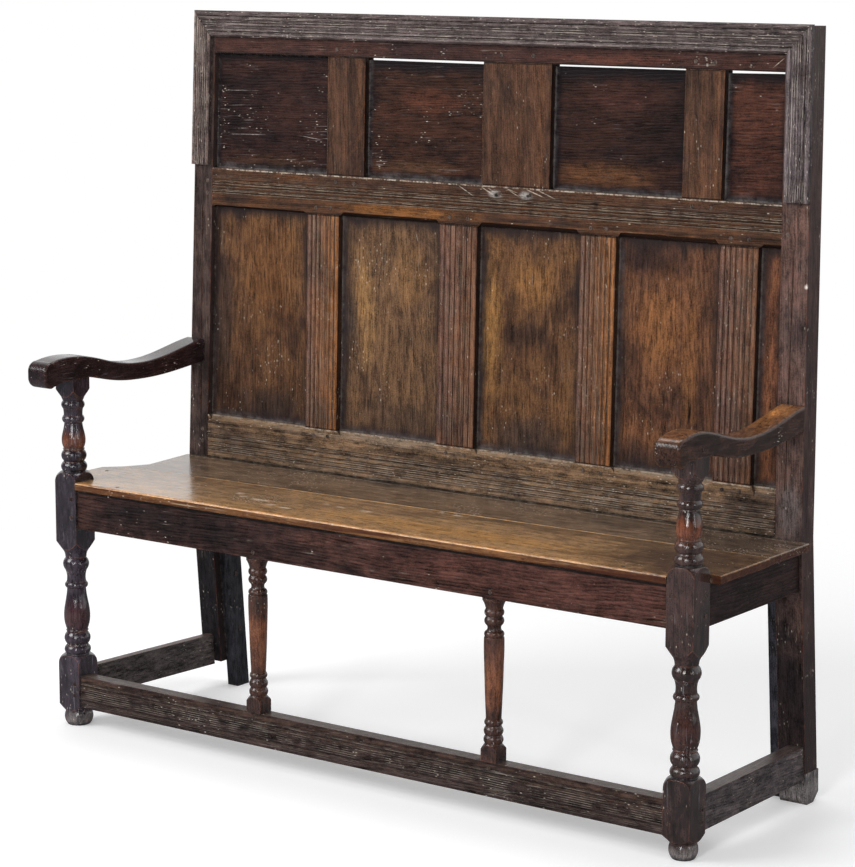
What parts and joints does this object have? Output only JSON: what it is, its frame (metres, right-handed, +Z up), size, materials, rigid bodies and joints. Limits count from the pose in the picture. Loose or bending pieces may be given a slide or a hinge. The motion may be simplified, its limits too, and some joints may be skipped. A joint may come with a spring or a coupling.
{
  "type": "settle bench",
  "caption": "Oak settle bench with a high panelled back, a plank seat, turned front legs under scrolled arms, and low stretchers joined to the front seat rail by balusters.",
  "frame": {"origin": "on the floor, under the middle of the bench's bounding box", "axes": "+X along the seat towards the right end as seen from the front, +Y from the front to the back, +Z up from the floor"},
  "size_m": [1.45, 0.5188, 1.3589],
  "materials": {
    "oak_back_frame": "old waxed oak, worn lighter on the arrises",
    "oak_panels": "waxed oak panels, dark at the edges",
    "oak_moulding": "dark waxed oak with dust in the reeding",
    "oak_seat": "polished by use, golden on the front edge",
    "oak_turned": "nearly black polished oak",
    "oak_underframe": "dark waxed oak",
    "oak_pegs": "dark oak end grain",
    "iron_nails": "dull oxidised iron"
  },
  "bodies": {
    "root": {"arm_left": "oak_turned", "arm_right": "oak_turned", "back_rail_bottom": "oak_back_frame", "back_rail_middle": "oak_back_frame", "back_rail_top": "oak_back_frame", "baluster_left": "oak_turned", "baluster_right": "oak_turned", "front_leg_left": "oak_turned", "front_leg_right": "oak_turned", "lower_muntin_1": "oak_back_frame", "lower_muntin_2": "oak_back_frame", "lower_muntin_3": "oak_back_frame", "lower_muntin_4": "oak_back_frame", "lower_panel_1": "oak_panels", "lower_panel_2": "oak_panels", "lower_panel_3": "oak_panels", "lower_panel_4": "oak_panels", "lower_panel_5": "oak_panels", "moulding_left": "oak_moulding", "moulding_nails": "iron_nails", "moulding_right": "oak_moulding", "moulding_top": "oak_moulding", "pegs_arms": "oak_pegs", "pegs_back": "oak_pegs", "pegs_balusters": "oak_pegs", "pegs_braces": "oak_pegs", "pegs_front_legs": "oak_pegs", "pegs_seat": "oak_pegs", "pegs_stiles": "oak_pegs", "rear_brace_left": "oak_underframe", "rear_brace_right": "oak_underframe", "rear_foot_tip": "oak_underframe", "seat_bearer_left": "oak_underframe", "seat_bearer_right": "oak_underframe", "seat_plank_front": "oak_seat", "seat_plank_rear": "oak_seat", "seat_rail_front": "oak_underframe", "seat_rail_left": "oak_underframe", "seat_rail_rear": "oak_underframe", "seat_rail_right": "oak_underframe", "stile_left": "oak_back_frame", "stile_right": "oak_back_frame", "stretcher_front": "oak_underframe", "stretcher_left": "oak_underframe", "stretcher_right": "oak_underframe", "upper_muntin_1": "oak_back_frame", "upper_muntin_2": "oak_back_frame", "upper_muntin_3": "oak_back_frame", "upper_panel_1": "oak_panels", "upper_panel_2": "oak_panels", "upper_panel_3": "oak_panels", "upper_panel_4": "oak_panels"}
  },
  "joints": []
}
